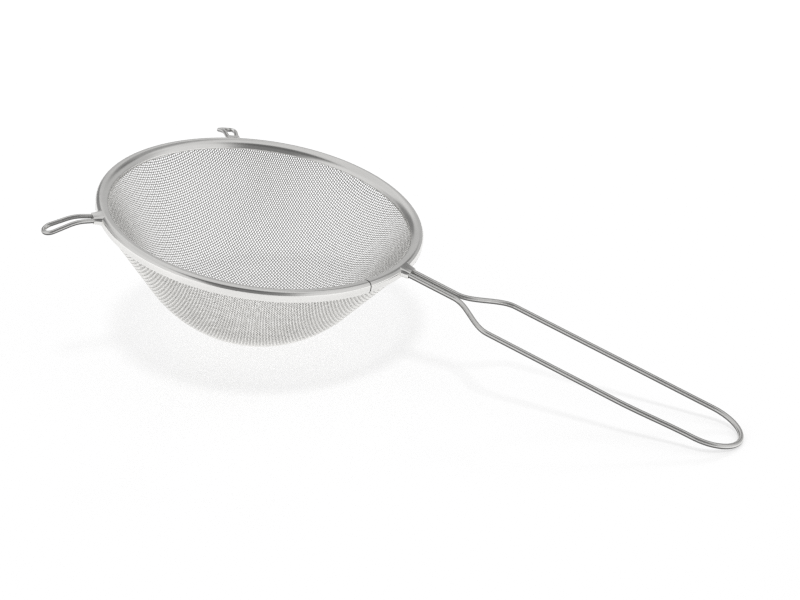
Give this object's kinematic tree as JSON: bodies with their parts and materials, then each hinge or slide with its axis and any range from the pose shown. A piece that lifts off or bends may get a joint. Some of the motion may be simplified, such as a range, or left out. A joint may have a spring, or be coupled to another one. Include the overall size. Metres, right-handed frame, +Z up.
{
  "type": "mesh strainer",
  "caption": "Woven wire mesh strainer bowl in a folded steel rim, with a looped wire handle and short wire rests that reach over the edge of a pot.",
  "frame": {"origin": "on the table, under the middle of the strainer's length and width", "axes": "+X towards the handle's tip, +Y across, +Z up; the strainer lies on the bottom of its bowl and the tip of its handle"},
  "size_m": [0.4068, 0.2022, 0.102],
  "materials": {
    "rim_steel": "bright rolled sheet, faintly brushed along the hoop",
    "mesh_steel": "drawn wire, woven, a little dull inside the bowl",
    "wire_steel": "bright drawn wire, duller underneath"
  },
  "bodies": {
    "root": {"rim_band": "rim_steel", "mesh_bowl": "mesh_steel", "handle_wire": "wire_steel", "left_rest": "wire_steel", "right_rest": "wire_steel"}
  },
  "joints": []
}
